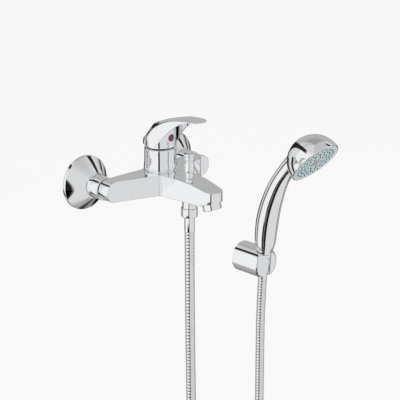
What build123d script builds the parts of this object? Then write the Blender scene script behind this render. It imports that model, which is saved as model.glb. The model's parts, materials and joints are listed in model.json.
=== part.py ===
"""Wall mounted bath faucet: single lever bath mixer, hose, hand shower and wall bracket.

Frame: the origin lies on the finished wall, midway between the two inlets.
X runs to the right along the wall, Y runs into the wall, Z runs up.
Distances out from the wall are named depths; a depth d lies at Y = -d.
"""
import os
from math import atan2, cos, degrees, radians, sin, tan

from build123d import *

# ---------------------------------------------------------------- driving dimensions (mm)
INLET_SPACING = 150.0          # between the two supply pipes
INLET_X = INLET_SPACING / 2
PIPE_DROP = 8.0                # the supply pipes sit this far below the mixer's axis
PIPE_RADIUS = 10.48            # G1/2 thread, major radius
PIPE_DEPTH = 20.0              # length of the shank inside the wall
PIPE_RELIEF = 1.0              # plain relief between the thread and the web
TAIL_RADIUS = 13.2             # G3/4 tail, major radius

ESCUTCHEON_RADIUS = 34.2
ESCUTCHEON_RIM = 4.6
ESCUTCHEON_DEPTH = 22.0
UNION_RADIUS = 14.8            # round union nut
UNION_START = 21.0
UNION_END = 41.0

ARM_RADIUS = 13.3              # half height of the arms, and their rounded ends
ARM_BACK = 42.0                # depth of the arms' back faces at the inlets
ARM_FRONT = 60.0               # depth of the arms' front faces at the inlets

TURN_DEPTH = 60.0              # vertical axis of the cartridge and the lever
BOSS_RADIUS = 21.4
BOSS_TOP = 18.0
COVER_RADIUS = 20.0
COVER_TOP = 42.8
CARTRIDGE_RADIUS = 17.5
CARTRIDGE_FLOOR = -2.0
TILT_HEIGHT = 24.0             # horizontal axis that the lever tilts about

LEVER_BOTTOM = 47.0
HUB_BOTTOM = 44.6
HUB_RADIUS = 19.8
SKIRT_RADIUS = 21.5
INDICATOR_Z = 57.5
INDICATOR_RADIUS = 4.9
PADDLE_HALF_WIDTH = 15.0
PADDLE_TIP = 135.0
PADDLE_TIP_RADIUS = 12.7

SPOUT_HALF_WIDTH = 20.0
SPOUT_TIP_RADIUS = 13.2
SPOUT_TIP_CENTRE = 148.8
SPOUT_BOTTOM = -13.4
SLANT_START = 140.0            # depth where the spout's underside starts to rise
AERATOR_DEPTH = 147.8
AERATOR_TILT = 17.0            # degrees that the outlet leans away from the wall
AERATOR_Z = SPOUT_BOTTOM + (AERATOR_DEPTH - SLANT_START) * tan(radians(AERATOR_TILT))
AERATOR_RADIUS = 11.8

OUTLET_DEPTH = 110.8           # vertical axis of the diverter and the hose outlet
KNOB_TRAVEL = 8.0
HOSE_RADIUS = 6.3
FERRULE_END = -56.5            # height where the bare hose starts under the spout

BRACKET_X = 216.9
BRACKET_Z = -179.2
BRACKET_RADIUS = 21.5
BRACKET_DEPTH = 49.0
CUP_DEPTH = 41.0
CUP_LEAN = 3.5                 # degrees that the cup's axis leans away from the wall
CUP_SLOT = 14.0
WALL = 1.8                     # usual wall of the cast and drawn shells

HEAD_DEPTH = 129.9
HEAD_Z = -12.6
HEAD_RADIUS = 36.8
HEAD_HEIGHT = 38.6
HEAD_DIP = 40.4                # degrees that the spray points below the horizontal

# the hose's route from the ferrule under the spout to the ferrule under the hand shower
HOSE_ROUTE = [
    (0.0, -110.8, -56.6),
    (0.3, -110.7, -140.0),
    (1.8, -110.2, -235.0),
    (4.3, -109.3, -335.0),
    (7.8, -108.2, -440.0),
    (12.6, -106.6, -520.0),
    (19.3, -104.4, -575.0),
    (33.6, -99.7, -617.0),
    (57.2, -91.9, -649.0),
    (87.6, -81.8, -668.0),
    (121.8, -70.5, -671.0),
    (154.0, -59.9, -658.0),
    (180.4, -51.1, -632.0),
    (197.5, -45.6, -595.0),
    (207.4, -42.4, -546.0),
    (212.4, -40.2, -480.0),
    (215.2, -38.4, -400.0),
    (216.6, -36.9, -320.0),
    (216.9, -36.6, -252.0),
    (216.9, -39.5, -203.1),
]


# ---------------------------------------------------------------- frames
def facing(depth, x=0.0, z=0.0):
    """Plane parallel to the wall, normal pointing out of the wall, local x = X, local y = Z."""
    return Plane(origin=(x, -depth, z), x_dir=(1, 0, 0), z_dir=(0, -1, 0))


def upright(x=0.0, depth=0.0, z=0.0):
    """Vertical plane across the wall, local x = outwards from the wall, local y = Z."""
    return Plane(origin=(x, -depth, z), x_dir=(0, -1, 0), z_dir=(-1, 0, 0))


# the cup, the conical nut and the handle's end share this leaning frame, local z = up the axis
CUP = Plane(
    origin=(BRACKET_X, -CUP_DEPTH, BRACKET_Z),
    x_dir=(1, 0, 0),
    z_dir=(0, -sin(radians(CUP_LEAN)), cos(radians(CUP_LEAN))),
)
# the aerator's frame, local z = up into the spout
AERATOR = Plane(
    origin=(0, -AERATOR_DEPTH, AERATOR_Z),
    x_dir=(1, 0, 0),
    z_dir=(0, sin(radians(AERATOR_TILT)), cos(radians(AERATOR_TILT))),
)
# the shower head's frame, local z = back from the spray face into the head
HEAD = Plane(
    origin=(BRACKET_X, -HEAD_DEPTH, HEAD_Z),
    x_dir=(1, 0, 0),
    z_dir=(0, cos(radians(HEAD_DIP)), sin(radians(HEAD_DIP))),
)


def turned(points, plane):
    """Solid of revolution: a closed outline of (radius, height) turned about the plane's z axis."""
    section = Plane(origin=plane.origin, x_dir=plane.x_dir, z_dir=-plane.y_dir)
    with BuildPart() as solid:
        with BuildSketch(section):
            with BuildLine():
                Polyline(*points, close=True)
            make_face()
        revolve(axis=Axis(plane.origin, plane.z_dir))
    return solid.part


def ring(plane, outer, inner, bottom, top):
    """Plain ring about the plane's z axis."""
    return turned([(inner, bottom), (outer, bottom), (outer, top), (inner, top)], plane)


def save(part, name):
    part.label = name
    export_step(part, f"parts/{name}.step")


# ---------------------------------------------------------------- inlets
def eccentric_union(side):
    """Offset pipe union: G1/2 thread and relief in the wall, eccentric web, G3/4 towards the mixer."""
    x = side * INLET_X
    with BuildPart() as union:
        with BuildSketch(facing(-PIPE_DEPTH)):
            with Locations((x, -PIPE_DROP)):
                Circle(PIPE_RADIUS)
        extrude(amount=PIPE_DEPTH - PIPE_RELIEF)
        with BuildSketch(facing(-PIPE_RELIEF)):
            with Locations((x, -PIPE_DROP)):
                Circle(PIPE_RADIUS - 1.3)
        extrude(amount=PIPE_RELIEF + 1)
        with BuildSketch(facing(0.5)):
            with Locations((x, 0)):
                Circle(TAIL_RADIUS)
            with Locations((x, -PIPE_DROP)):
                Circle(PIPE_RADIUS + 1.2)
            make_hull()
        extrude(amount=11.5)
        with BuildSketch(facing(12)):
            with Locations((x, 0)):
                Circle(TAIL_RADIUS)
        extrude(amount=19)
        with BuildSketch(facing(-PIPE_DEPTH)):
            with Locations((x, -PIPE_DROP)):
                Circle(7)
        extrude(amount=PIPE_DEPTH + 10, mode=Mode.SUBTRACT)
        with BuildSketch(facing(8)):
            with Locations((x, 0)):
                Circle(8)
        extrude(amount=24, mode=Mode.SUBTRACT)
    return union.part


def union_nut(side):
    """Round nut that draws the mixer's tail onto the union."""
    return turned(
        [
            (13.25, UNION_START),
            (UNION_RADIUS, UNION_START),
            (UNION_RADIUS, UNION_END - 1),
            (UNION_RADIUS - 1, UNION_END),
            (11.3, UNION_END),
            (11.3, 37.5),
            (13.25, 37.5),
        ],
        facing(0, side * INLET_X),
    )


def inlet_seal(side):
    """Flat washer with a sieve, between the union and the mixer's tail."""
    with BuildPart() as seal:
        with BuildSketch(facing(31)):
            with Locations((side * INLET_X, 0)):
                Circle(12.4)
        extrude(amount=2)
        with BuildSketch(facing(30)):
            with Locations((side * INLET_X, 0)):
                with PolarLocations(4.6, 6):
                    Circle(1.6)
                Circle(1.6)
        extrude(amount=4, mode=Mode.SUBTRACT)
    return seal.part


def escutcheon(side):
    """Conical wall rosette with an upright rim, pushed over the union nut."""
    outer = ESCUTCHEON_RADIUS
    neck = UNION_RADIUS
    return turned(
        [
            (outer - WALL, 0),
            (outer - 0.4, 0),
            (outer, 0.4),
            (outer, ESCUTCHEON_RIM - 0.8),
            (outer - 0.8, ESCUTCHEON_RIM),
            (neck + 0.9, ESCUTCHEON_DEPTH),
            (neck, ESCUTCHEON_DEPTH),
            (neck, ESCUTCHEON_DEPTH - 4),
            (outer - WALL - 0.4, ESCUTCHEON_RIM - 1.6),
        ],
        facing(0, side * INLET_X),
    )


# ---------------------------------------------------------------- mixer body
def mixer_body():
    """Cast body: two swept arms, the cartridge boss and the flat spout, with its waterways."""
    end_x = INLET_X + ARM_RADIUS + 1
    with BuildPart() as body:
        with BuildSketch(facing(0)):
            SlotCenterToCenter(INLET_SPACING, 2 * ARM_RADIUS)
        extrude(amount=100)
        with BuildSketch(Plane.XY.offset(-20)):
            with BuildLine():
                Polyline(
                    (-end_x, -ARM_BACK),
                    (-INLET_X + 16, -ARM_BACK),
                    (-18, -44),
                    (18, -44),
                    (INLET_X - 16, -ARM_BACK),
                    (end_x, -ARM_BACK),
                    (end_x, -ARM_FRONT + 1.5),
                    (INLET_X - 4, -ARM_FRONT),
                    (SPOUT_HALF_WIDTH, -TURN_DEPTH - 19),
                    (-SPOUT_HALF_WIDTH, -TURN_DEPTH - 19),
                    (-INLET_X + 4, -ARM_FRONT),
                    (-end_x, -ARM_FRONT + 1.5),
                    close=True,
                )
            make_face()
        extrude(amount=40, mode=Mode.INTERSECT)
        add(spout_solid())
        add(boss_solid())
        for side in (-1, 1):
            with BuildSketch(facing(36.2)):
                with Locations((side * INLET_X, 0)):
                    Circle(11)
            extrude(amount=ARM_BACK - 36)
            with BuildSketch(facing(33)):
                with Locations((side * INLET_X, 0)):
                    Circle(12.8)
            extrude(amount=3.4)
            with BuildSketch(facing(32)):
                with Locations((side * INLET_X, 0)):
                    Circle(7.5)
            extrude(amount=20, mode=Mode.SUBTRACT)
            arm_way = Plane(
                origin=(side * INLET_X, -50, 0),
                z_dir=(-side * (INLET_X - 12), -4, 0),
            )
            with BuildSketch(arm_way):
                Circle(5.5)
            extrude(amount=INLET_X - 8, mode=Mode.SUBTRACT)
        with Locations((0, -TURN_DEPTH, CARTRIDGE_FLOOR)):
            Cylinder(
                CARTRIDGE_RADIUS + 0.3,
                40,
                align=(Align.CENTER, Align.CENTER, Align.MIN),
                mode=Mode.SUBTRACT,
            )
        with Locations((0, -TURN_DEPTH, BOSS_TOP - 8)):
            Cylinder(
                18.8,
                20,
                align=(Align.CENTER, Align.CENTER, Align.MIN),
                mode=Mode.SUBTRACT,
            )
        with Locations((-8, -TURN_DEPTH + 4, 0), (8, -TURN_DEPTH + 4, 0)):
            Cylinder(4, 9, align=(Align.CENTER, Align.CENTER, Align.MAX), mode=Mode.SUBTRACT)
        with Locations((0, -TURN_DEPTH - 8, 0)):
            Cylinder(4.5, 9, align=(Align.CENTER, Align.CENTER, Align.MAX), mode=Mode.SUBTRACT)
        with BuildSketch(facing(TURN_DEPTH + 8)):
            with Locations((0, -5.5)):
                Circle(3.2)
        extrude(amount=OUTLET_DEPTH - TURN_DEPTH - 8, mode=Mode.SUBTRACT)
        with Locations((0, -OUTLET_DEPTH, SPOUT_BOTTOM - 1)):
            Cylinder(
                8.6, 20.5, align=(Align.CENTER, Align.CENTER, Align.MIN), mode=Mode.SUBTRACT
            )
        with Locations((0, -OUTLET_DEPTH, 5)):
            Cylinder(
                4.4, 12, align=(Align.CENTER, Align.CENTER, Align.MIN), mode=Mode.SUBTRACT
            )
        with Locations((0, -OUTLET_DEPTH, 12.2)):
            Cylinder(
                5.7, 4, align=(Align.CENTER, Align.CENTER, Align.MIN), mode=Mode.SUBTRACT
            )
        with BuildSketch(AERATOR.offset(-4)):
            Circle(10.2)
        extrude(amount=12.5, mode=Mode.SUBTRACT)
        with BuildSketch(facing(OUTLET_DEPTH + 4)):
            with Locations((0, 1.4)):
                Circle(3)
        extrude(amount=AERATOR_DEPTH - OUTLET_DEPTH, mode=Mode.SUBTRACT)
    return body.part


def boss_solid():
    """Round boss under the cover, flared where it meets the arms."""
    return turned(
        [
            (0, SPOUT_BOTTOM),
            (20, SPOUT_BOTTOM),
            (21, 0),
            (24.5, ARM_RADIUS - 0.6),
            (22.4, ARM_RADIUS + 0.9),
            (BOSS_RADIUS, ARM_RADIUS + 2.6),
            (BOSS_RADIUS, BOSS_TOP - 1.2),
            (BOSS_RADIUS - 1.2, BOSS_TOP),
            (0, BOSS_TOP),
        ],
        Plane(origin=(0, -TURN_DEPTH, 0)),
    )


def spout_solid():
    """Flat spout, tapering in plan to a round tip, its top falling towards the outlet."""
    tip = SPOUT_TIP_CENTRE + SPOUT_TIP_RADIUS
    with BuildPart() as spout:
        with BuildSketch(Plane.XY.offset(-20)):
            with BuildLine():
                Polyline(
                    (-SPOUT_TIP_RADIUS, -SPOUT_TIP_CENTRE),
                    (-SPOUT_HALF_WIDTH, -TURN_DEPTH - 12),
                    (-SPOUT_HALF_WIDTH, -TURN_DEPTH),
                    (SPOUT_HALF_WIDTH, -TURN_DEPTH),
                    (SPOUT_HALF_WIDTH, -TURN_DEPTH - 12),
                    (SPOUT_TIP_RADIUS, -SPOUT_TIP_CENTRE),
                )
                ThreePointArc(
                    (SPOUT_TIP_RADIUS, -SPOUT_TIP_CENTRE),
                    (0, -tip),
                    (-SPOUT_TIP_RADIUS, -SPOUT_TIP_CENTRE),
                )
            make_face()
        extrude(amount=50)
        with BuildSketch(upright()):
            with BuildLine():
                Polyline(
                    (TURN_DEPTH, ARM_RADIUS),
                    (TURN_DEPTH, SPOUT_BOTTOM),
                    (SLANT_START, SPOUT_BOTTOM),
                    (tip + 1, SPOUT_BOTTOM + (tip + 1 - SLANT_START) * tan(radians(AERATOR_TILT))),
                    (tip + 1, 5.5),
                )
                Spline(
                    (tip + 1, 5.5),
                    (152, 6.4),
                    (140, 8.8),
                    (124, 11.8),
                    (108, 13.3),
                    (88, 13.6),
                    (TURN_DEPTH, ARM_RADIUS),
                )
            make_face()
        extrude(amount=30, both=True, mode=Mode.INTERSECT)
    return spout.part


def outlet_nipple():
    """Threaded outlet under the spout that carries the hose; its top is the diverter's lower seat."""
    return turned(
        [
            (4, -25.4),
            (8.2, -25.4),
            (9.2, -24.4),
            (9.2, SPOUT_BOTTOM),
            (8.6, SPOUT_BOTTOM),
            (8.6, -7),
            (4, -7),
        ],
        Plane(origin=(0, -OUTLET_DEPTH, 0)),
    )


def check_valve():
    """Non-return valve cartridge pressed into the outlet nipple."""
    with BuildPart() as valve:
        add(ring(Plane(origin=(0, -OUTLET_DEPTH, 0)), 4, 2.9, -23, -11))
        with Locations((0, -OUTLET_DEPTH, -18)):
            Cylinder(2.2, 5)
            Box(7, 1, 3)
            Box(1, 7, 3)
    return valve.part


# ---------------------------------------------------------------- diverter
def diverter_seat():
    """Upper seat that the lifted diverter disc closes."""
    return ring(Plane(origin=(0, -OUTLET_DEPTH, 0)), 8.6, 4.4, 3.4, 5.6)


def diverter_bonnet():
    """Fixed guide in the top of the spout, hollow below for the return spring."""
    return turned(
        [
            (1.85, 17.6),
            (3.5, 17.6),
            (3.5, 8),
            (4.4, 8),
            (4.4, 12.2),
            (5.6, 12.2),
            (5.6, 13.8),
            (4.8, 13.8),
            (4.8, 20.4),
            (1.85, 20.4),
        ],
        Plane(origin=(0, -OUTLET_DEPTH, 0)),
    )


def diverter_knob():
    """Pull-up knob with a wider cap and a grip groove."""
    return turned(
        [
            (0, 23),
            (5.1, 23),
            (5.1, 20.9),
            (6.0, 20.9),
            (6.2, 21.1),
            (6.2, 33.4),
            (5.6, 34),
            (5.6, 36.4),
            (6.2, 37),
            (6.2, 41),
            (7, 41.6),
            (7, 43.6),
            (5.8, 44.8),
            (0, 45.2),
        ],
        Plane(origin=(0, -OUTLET_DEPTH, 0)),
    )


def diverter_stem():
    """Stem with the sealing disc at its lower end."""
    return turned(
        [
            (0, -7),
            (7.2, -7),
            (7.2, -4.6),
            (3, -4.6),
            (3, -3),
            (1.8, -3),
            (1.8, 23),
            (0, 23),
        ],
        Plane(origin=(0, -OUTLET_DEPTH, 0)),
    )


def diverter_spring():
    """Return spring between the sealing disc and the bonnet."""
    with BuildPart() as spring:
        with BuildLine():
            Helix(pitch=2.2, height=11, radius=2.6, center=(0, -OUTLET_DEPTH, -2.4))
        with BuildSketch(Plane(origin=(2.6, -OUTLET_DEPTH, -2.4), z_dir=(0, 1, 0.135))):
            Circle(0.4)
        sweep(is_frenet=True)
    return spring.part


# ---------------------------------------------------------------- outlet
def aerator_housing():
    """Chromed ring of the aerator."""
    return turned(
        [
            (8.6, -7.4),
            (9.4, -8),
            (11, -8),
            (AERATOR_RADIUS, -7.2),
            (AERATOR_RADIUS, 0),
            (10.2, 0),
            (10.2, 6),
            (8.6, 6),
        ],
        AERATOR,
    )


def aerator_insert():
    """Plastic jet former with a grid of holes."""
    with BuildPart() as insert:
        with BuildSketch(AERATOR.offset(-6.8)):
            Circle(8.6)
        extrude(amount=3)
        with BuildSketch(AERATOR.offset(-9)):
            with HexLocations(1.25, 5, 5):
                RegularPolygon(0.95, 6)
        extrude(amount=6, mode=Mode.SUBTRACT)
        with BuildSketch(AERATOR.offset(-3.8)):
            Circle(8.6)
            Circle(7.4, mode=Mode.SUBTRACT)
        extrude(amount=9)
    return insert.part


def aerator_seal():
    """Rubber washer above the aerator."""
    return ring(AERATOR, 10.2, 7, 6, 8)


# ---------------------------------------------------------------- cartridge
def cartridge_housing():
    """Plastic housing of the ceramic cartridge."""
    axis = Plane(origin=(0, -TURN_DEPTH, 0))
    with BuildPart() as housing:
        add(
            turned(
                [
                    (0, CARTRIDGE_FLOOR + 1),
                    (CARTRIDGE_RADIUS, CARTRIDGE_FLOOR + 1),
                    (CARTRIDGE_RADIUS, 24),
                    (15, 27),
                    (11, 27),
                    (11, 24),
                    (15.6, 22),
                    (15.6, 2.5),
                    (0, 2.5),
                ],
                axis,
            )
        )
        with BuildSketch(Plane.XY.offset(-3)):
            with Locations((-8, -TURN_DEPTH + 4), (8, -TURN_DEPTH + 4), (0, -TURN_DEPTH - 8)):
                Circle(3)
        extrude(amount=6, mode=Mode.SUBTRACT)
    return housing.part


def cartridge_seals():
    """Rubber rings between the cartridge's three ports and the body."""
    with BuildPart() as seals:
        with BuildSketch(Plane.XY.offset(CARTRIDGE_FLOOR)):
            with Locations((-8, -TURN_DEPTH + 4), (8, -TURN_DEPTH + 4), (0, -TURN_DEPTH - 8)):
                Circle(5)
                Circle(3.6, mode=Mode.SUBTRACT)
        extrude(amount=1)
    return seals.part


def fixed_disc():
    """Lower ceramic disc with the two inlet ports and the outlet port."""
    with BuildPart() as disc:
        with BuildSketch(Plane.XY.offset(2.5)):
            with Locations((0, -TURN_DEPTH)):
                Circle(15.2)
            with Locations((-8, -TURN_DEPTH + 4), (8, -TURN_DEPTH + 4), (0, -TURN_DEPTH - 8)):
                Circle(3, mode=Mode.SUBTRACT)
        extrude(amount=3)
    return disc.part


def moving_disc():
    """Upper ceramic disc, slid by the lever over the ports."""
    with BuildPart() as disc:
        with BuildSketch(Plane.XY.offset(5.6)):
            with Locations((0, -TURN_DEPTH + 1)):
                Circle(9)
        extrude(amount=3)
        with BuildSketch(Plane.XY.offset(5)):
            with Locations((0, -TURN_DEPTH + 1)):
                SlotCenterToCenter(6, 7)
        extrude(amount=2.4, mode=Mode.SUBTRACT)
        with BuildSketch(Plane.XY.offset(8.6)):
            with Locations((0, -TURN_DEPTH)):
                Rectangle(13, 13)
                Circle(3.6, mode=Mode.SUBTRACT)
        extrude(amount=3)
    return disc.part


def cartridge_carrier():
    """Turning guide inside the cartridge that carries the lever's pin."""
    with BuildPart() as carrier:
        with Locations((0, -TURN_DEPTH, 13)):
            Cylinder(15.3, 8.6, align=(Align.CENTER, Align.CENTER, Align.MIN))
        with Locations((0, -TURN_DEPTH, 21)):
            Cylinder(10.6, 8, align=(Align.CENTER, Align.CENTER, Align.MIN))
        with Locations((0, -TURN_DEPTH, 12)):
            Box(9.2, 21, 20, align=(Align.CENTER, Align.CENTER, Align.MIN), mode=Mode.SUBTRACT)
        with BuildSketch(Plane.YZ.offset(-8.4)):
            with Locations((-TURN_DEPTH, TILT_HEIGHT)):
                Circle(1.55)
        extrude(amount=16.8, mode=Mode.SUBTRACT)
    return carrier.part


def tilt_pin():
    """Steel pin that the lever's stem tilts on."""
    with BuildPart() as pin:
        with BuildSketch(Plane.YZ.offset(-8)):
            with Locations((-TURN_DEPTH, TILT_HEIGHT)):
                Circle(1.5)
        extrude(amount=16)
    return pin.part


def lever_stem():
    """Square stem: its foot moves the ceramic disc, its head carries the lever."""
    with BuildPart() as stem:
        with Locations((0, -TURN_DEPTH, 13)):
            Box(8, 8, 41, align=(Align.CENTER, Align.CENTER, Align.MIN))
        with Locations((0, -TURN_DEPTH, 9.4)):
            Cylinder(2.2, 5, align=(Align.CENTER, Align.CENTER, Align.MIN))
        with BuildSketch(Plane.YZ.offset(-5)):
            with Locations((-TURN_DEPTH, TILT_HEIGHT)):
                Circle(1.5)
        extrude(amount=10, mode=Mode.SUBTRACT)
    return stem.part


def cartridge_nut():
    """Brass nut that holds the cartridge down; the cover screws onto its outside."""
    axis = Plane(origin=(0, -TURN_DEPTH, 0))
    with BuildPart() as nut:
        add(
            turned(
                [
                    (17.7, 10),
                    (18.8, 10),
                    (18.8, 26),
                    (17, 29.4),
                    (12.4, 29.4),
                    (12.4, 28),
                    (15, 27),
                    (17.7, 24.2),
                ],
                axis,
            )
        )
    return nut.part


def cover():
    """Chromed sleeve over the cartridge nut, slightly wider at its foot."""
    return turned(
        [
            (18.8, BOSS_TOP),
            (COVER_RADIUS + 0.9, BOSS_TOP),
            (COVER_RADIUS + 0.2, BOSS_TOP + 5),
            (COVER_RADIUS, BOSS_TOP + 10),
            (COVER_RADIUS, COVER_TOP - 2.4),
            (COVER_RADIUS - 0.6, COVER_TOP - 1),
            (COVER_RADIUS - 1.8, COVER_TOP - 0.4),
            (15.8, COVER_TOP),
            (14.4, COVER_TOP - 1),
            (15, COVER_TOP - 2.2),
            (COVER_RADIUS - 2.2, COVER_TOP - 3),
            (18.8, COVER_TOP - 6),
        ],
        Plane(origin=(0, -TURN_DEPTH, 0)),
    )


# ---------------------------------------------------------------- lever
def lever_outline():
    """Plan outline of the lever: a round skirt running out into a round ended paddle."""
    with BuildSketch() as plan:
        with Locations((0, -TURN_DEPTH)):
            Circle(SKIRT_RADIUS)
        with Locations((0, -PADDLE_TIP + PADDLE_TIP_RADIUS)):
            Circle(PADDLE_TIP_RADIUS)
        with Locations((0, -95)):
            Rectangle(2 * PADDLE_HALF_WIDTH, 10)
        make_hull()
    return plan.sketch


def paddle_hollow():
    """Plan of the hollow under the paddle, running back into the hub."""
    half = PADDLE_HALF_WIDTH - WALL
    end = PADDLE_TIP_RADIUS - WALL
    tip = -PADDLE_TIP + PADDLE_TIP_RADIUS
    with BuildSketch() as plan:
        with Locations((0, tip)):
            Circle(end)
        with BuildLine():
            Polyline(
                (-17, -66),
                (-half, -90),
                (-end, tip),
                (end, tip),
                (half, -90),
                (17, -66),
                close=True,
            )
        make_face()
    return plan.sketch


def under_ceiling(lift):
    """Everything below the lever's inner ceiling, raised by a lift."""
    line = [(39.9, 54.6), (44, 60.6), (51, 66.4), (65, 74), (82, 79.8), (101, 83.8), (120, 85)]
    with BuildPart() as block:
        with BuildSketch(upright()):
            with BuildLine():
                Polyline((120, 40), (39.9, 40), *[(d, z + lift) for d, z in line], close=True)
            make_face()
        extrude(amount=30, both=True)
    return block.part


def lever():
    """Hollow cast lever: round hub, skirt cut away on a slant in front, thin curved paddle."""
    back = TURN_DEPTH - SKIRT_RADIUS - 1
    axis = Plane(origin=(0, -TURN_DEPTH, 0))
    with BuildPart() as shell:
        with BuildSketch(upright()):
            with BuildLine():
                Polyline((back, 56), (back, LEVER_BOTTOM), (TURN_DEPTH + 10, LEVER_BOTTOM))
                Spline(
                    (TURN_DEPTH + 10, LEVER_BOTTOM),
                    (77, 56),
                    (86, 65.5),
                    (97, 75),
                    (110, 81.8),
                    (122, 85),
                    (PADDLE_TIP + 1, 86.8),
                )
                Line((PADDLE_TIP + 1, 86.8), (PADDLE_TIP + 1, 88.4))
                Spline(
                    (PADDLE_TIP + 1, 88.4),
                    (118, 88.2),
                    (101, 86.8),
                    (82, 82.8),
                    (65, 77),
                    (51, 69.5),
                    (43, 63.4),
                    (back, 56),
                )
            make_face()
        extrude(amount=30, both=True)
        outline = extrude(Plane.XY.offset(39) * lever_outline(), amount=60, mode=Mode.PRIVATE)
        add(outline, mode=Mode.INTERSECT)
        bore = HUB_RADIUS - WALL
        add(ring(axis, HUB_RADIUS, 0, HUB_BOTTOM, 95) & under_ceiling(1))
        add(ring(axis, bore, 0, 40, 95) & under_ceiling(0), mode=Mode.SUBTRACT)
        front = extrude(Plane.XY.offset(39) * paddle_hollow(), amount=60, mode=Mode.PRIVATE)
        add((front - ring(axis, HUB_RADIUS, 0, 30, 100)) & under_ceiling(0), mode=Mode.SUBTRACT)
        add(ring(axis, 8.5, 0, 48.6, 76.5) & under_ceiling(1))
        with Locations((0, -TURN_DEPTH, 42)):
            Box(8, 8, 12, align=(Align.CENTER, Align.CENTER, Align.MIN), mode=Mode.SUBTRACT)
        with BuildSketch(facing(TURN_DEPTH + 4)):
            with Locations((0, 52.5)):
                Circle(2.5)
        extrude(amount=4.6, mode=Mode.SUBTRACT)
        with BuildSketch(facing(TURN_DEPTH + 15)):
            with Locations((0, INDICATOR_Z)):
                Circle(INDICATOR_RADIUS)
        extrude(amount=6, mode=Mode.SUBTRACT)
    return shell.part


def lever_screw():
    """Grub screw that clamps the lever to its stem."""
    with BuildPart() as screw:
        with BuildSketch(facing(TURN_DEPTH + 4)):
            with Locations((0, 52.5)):
                Circle(2.5)
        extrude(amount=4.4)
        with BuildSketch(facing(TURN_DEPTH + 6.4)):
            with Locations((0, 52.5)):
                RegularPolygon(1.4, 6)
        extrude(amount=3, mode=Mode.SUBTRACT)
    return screw.part


def indicator():
    """Red and blue plug that closes the screw's access hole in the hub."""
    with BuildPart() as plug:
        with BuildSketch(facing(TURN_DEPTH + 16)):
            with Locations((0, INDICATOR_Z)):
                Circle(INDICATOR_RADIUS)
        extrude(amount=5)
        with Locations((0, -TURN_DEPTH, 40)):
            Cylinder(
                HUB_RADIUS + 0.3,
                40,
                align=(Align.CENTER, Align.CENTER, Align.MIN),
                mode=Mode.INTERSECT,
            )
    return plug.part


# ---------------------------------------------------------------- hose
def hose():
    """Hose under its own weight: straight runs joined by arcs as large as the runs allow."""
    points = [Vector(*p) for p in HOSE_ROUTE]
    runs = [b - a for a, b in zip(points, points[1:])]
    radii = [
        0.45 * min(a.length, b.length) / tan(radians(a.get_angle(b)) / 2)
        for a, b in zip(runs, runs[1:])
    ]
    with BuildPart() as tube:
        with BuildLine():
            route = FilletPolyline(*points, radius=radii)
        with BuildSketch(Plane(origin=route @ 0, z_dir=route % 0)):
            Circle(HOSE_RADIUS)
        sweep()
    length = route.length
    print("hose arc radii:", [round(r) for r in radii])
    print("hose length", round(length, 1), "volume ratio", round(
        tube.part.volume / (length * 3.14159265 * HOSE_RADIUS**2), 4))
    return tube.part


def hose_nut():
    """Round nut that fastens the hose under the spout."""
    return turned(
        [
            (6.6, -37),
            (8.6, -37.8),
            (9.7, -36.9),
            (10.4, -35),
            (10.4, -26),
            (9.8, -25.4),
            (8.2, -25.4),
            (8.2, -28.2),
            (6.6, -28.2),
        ],
        Plane(origin=(0, -OUTLET_DEPTH, 0)),
    )


def hose_washer():
    """Rubber washer in the hose nut."""
    return ring(Plane(origin=(0, -OUTLET_DEPTH, 0)), 8.1, 4, -26.6, -25.4)


def hose_ferrule():
    """Crimped sleeve at the mixer's end of the hose."""
    return turned(
        [
            (4, FERRULE_END),
            (6.5, FERRULE_END),
            (6.5, -28.2),
            (8, -28.2),
            (8, -26.6),
            (4, -26.6),
        ],
        Plane(origin=(0, -OUTLET_DEPTH, 0)),
    )


def hose_end_ferrule():
    """Crimped sleeve and swivel tail at the hand shower's end of the hose."""
    return turned(
        [
            (3.4, -23.8),
            (6.4, -23.8),
            (6.4, -10),
            (6, -9.8),
            (6, 4),
            (3.4, 4),
        ],
        CUP,
    )


# ---------------------------------------------------------------- bracket
def bracket_body():
    """Short horizontal drum with a conical cup and a slot for the hose in front."""
    with BuildPart() as drum:
        with BuildSketch(facing(0)):
            with Locations((BRACKET_X, BRACKET_Z)):
                Circle(BRACKET_RADIUS)
        extrude(amount=BRACKET_DEPTH)
        rim = drum.edges().filter_by(GeomType.CIRCLE).sort_by(Axis.Y)[0]
        fillet(rim, radius=5.6)
        with BuildSketch(facing(0)):
            with Locations((BRACKET_X, BRACKET_Z)):
                Circle(17)
        extrude(amount=14, mode=Mode.SUBTRACT)
        add(
            turned(
                [(0, -30), (8.1, -30), (8.85, -13.4), (10.15, 15), (12.4, 15.4), (12.4, 40), (0, 40)],
                CUP,
            ),
            mode=Mode.SUBTRACT,
        )
        with BuildSketch(facing(CUP_DEPTH, BRACKET_X, BRACKET_Z)):
            Rectangle(CUP_SLOT, 60)
        extrude(amount=20, mode=Mode.SUBTRACT)
        with Locations((BRACKET_X, -6, BRACKET_Z - 16)):
            Cylinder(2, 8, align=(Align.CENTER, Align.CENTER, Align.MAX), mode=Mode.SUBTRACT)
    return drum.part


def bracket_plate():
    """Wall plate that the drum is pushed over."""
    with BuildPart() as plate:
        with BuildSketch(facing(0, BRACKET_X, BRACKET_Z)):
            Circle(17)
            with Locations((0, 9), (0, -9)):
                Circle(2.2, mode=Mode.SUBTRACT)
        extrude(amount=12)
        with BuildSketch(facing(4, BRACKET_X, BRACKET_Z)):
            with Locations((0, 9), (0, -9)):
                Circle(4.4)
        extrude(amount=10, mode=Mode.SUBTRACT)
    return plate.part


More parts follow.
